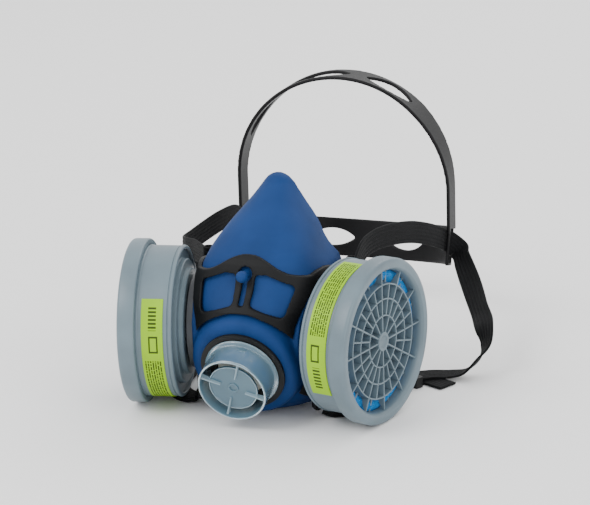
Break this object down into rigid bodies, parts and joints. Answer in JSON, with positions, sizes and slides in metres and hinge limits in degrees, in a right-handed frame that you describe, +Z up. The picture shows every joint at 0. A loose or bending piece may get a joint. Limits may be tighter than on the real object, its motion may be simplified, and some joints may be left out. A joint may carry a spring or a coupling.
{
  "type": "half-mask respirator",
  "caption": "Reusable half-mask respirator: soft facepiece in a moulded yoke, screw-on filter cartridges, guarded exhalation valve, and a head cradle on elastic straps.",
  "frame": {"origin": "middle of the base plane that the covers and chin stand on, under the middle of the whole part", "axes": "+Z up; -Y is the front of the mask; +X towards the cartridge called right, which is on the right of someone facing the mask"},
  "size_m": [0.2122, 0.2459, 0.1553],
  "materials": {
    "facepiece": "matte soft blue elastomer",
    "yoke": "satin charcoal moulding",
    "head_cradle": "satin charcoal moulding",
    "strap": "ribbed elastic webbing",
    "slide": "satin charcoal moulding",
    "valve_seat": "satin black moulding",
    "valve_disc": "soft translucent silicone",
    "guard": "translucent pale blue moulding",
    "cartridge": "satin grey moulding",
    "pad": "bonded blue fibre pad",
    "sorbent": "packed granules",
    "screen": "perforated pale moulding",
    "label": "printed lime band with plain bars",
    "connector": "satin dark moulding",
    "gasket": "soft black elastomer"
  },
  "bodies": {
    "mask": {"facepiece": "facepiece", "yoke": "yoke", "exhalation_valve_seat": "valve_seat", "right_inlet_connector": "connector", "right_connector_nut": "connector", "right_connector_gasket": "gasket", "right_strap": "strap", "right_strap_slide": "slide", "left_inlet_connector": "connector", "left_connector_nut": "connector", "left_connector_gasket": "gasket", "left_strap": "strap", "left_strap_slide": "slide"},
    "right_cartridge": {"right_cartridge_body": "cartridge", "right_prefilter_pad": "pad", "right_sorbent_bed": "sorbent", "right_outlet_screen": "screen", "right_label": "label"},
    "right_cover": {"right_cover_ring": "cartridge"},
    "right_inhalation_disc": {"right_inhalation_valve_disc": "valve_disc"},
    "left_cartridge": {"left_cartridge_body": "cartridge", "left_prefilter_pad": "pad", "left_sorbent_bed": "sorbent", "left_outlet_screen": "screen", "left_label": "label"},
    "left_cover": {"left_cover_ring": "cartridge"},
    "left_inhalation_disc": {"left_inhalation_valve_disc": "valve_disc"},
    "guard": {"exhalation_valve_guard": "guard"},
    "exhalation_disc": {"exhalation_valve_disc": "valve_disc"},
    "cradle": {"head_cradle": "head_cradle"}
  },
  "joints": [
    {"name": "right_cartridge_twist", "type": "hinge", "parent": "mask", "child": "right_cartridge", "pos_m": [0.07345, -0.0762, 0.045], "axis": [0.9774, -0.2113, 0], "range_deg": [0, 90]},
    {"name": "left_cartridge_twist", "type": "hinge", "parent": "mask", "child": "left_cartridge", "pos_m": [-0.07345, -0.0762, 0.045], "axis": [-0.9774, -0.2113, 0], "range_deg": [0, 90]},
    {"name": "right_cover_pull", "type": "slide", "parent": "right_cartridge", "child": "right_cover", "axis": [0.9774, -0.2113, 0], "range_m": [0, 0.015]},
    {"name": "left_cover_pull", "type": "slide", "parent": "left_cartridge", "child": "left_cover", "axis": [-0.9774, -0.2113, 0], "range_m": [0, 0.015]},
    {"name": "guard_pull", "type": "slide", "parent": "mask", "child": "guard", "axis": [0, -0.9511, -0.309], "range_m": [0, 0.012]},
    {"name": "exhalation_lift", "type": "slide", "parent": "mask", "child": "exhalation_disc", "axis": [0, -0.9511, -0.309], "range_m": [0, 0.0012], "stiffness_N_per_m": 20},
    {"name": "right_inhalation_lift", "type": "slide", "parent": "mask", "child": "right_inhalation_disc", "axis": [-0.9774, 0.2113, 0], "range_m": [0, 0.0012], "stiffness_N_per_m": 20},
    {"name": "left_inhalation_lift", "type": "slide", "parent": "mask", "child": "left_inhalation_disc", "axis": [0.9774, 0.2113, 0], "range_m": [0, 0.0012], "stiffness_N_per_m": 20},
    {"name": "cradle_tilt", "type": "hinge", "parent": "mask", "child": "cradle", "pos_m": [0, 0.0705, 0.0565], "axis": [1, 0, 0], "range_deg": [-15, 15]}
  ]
}
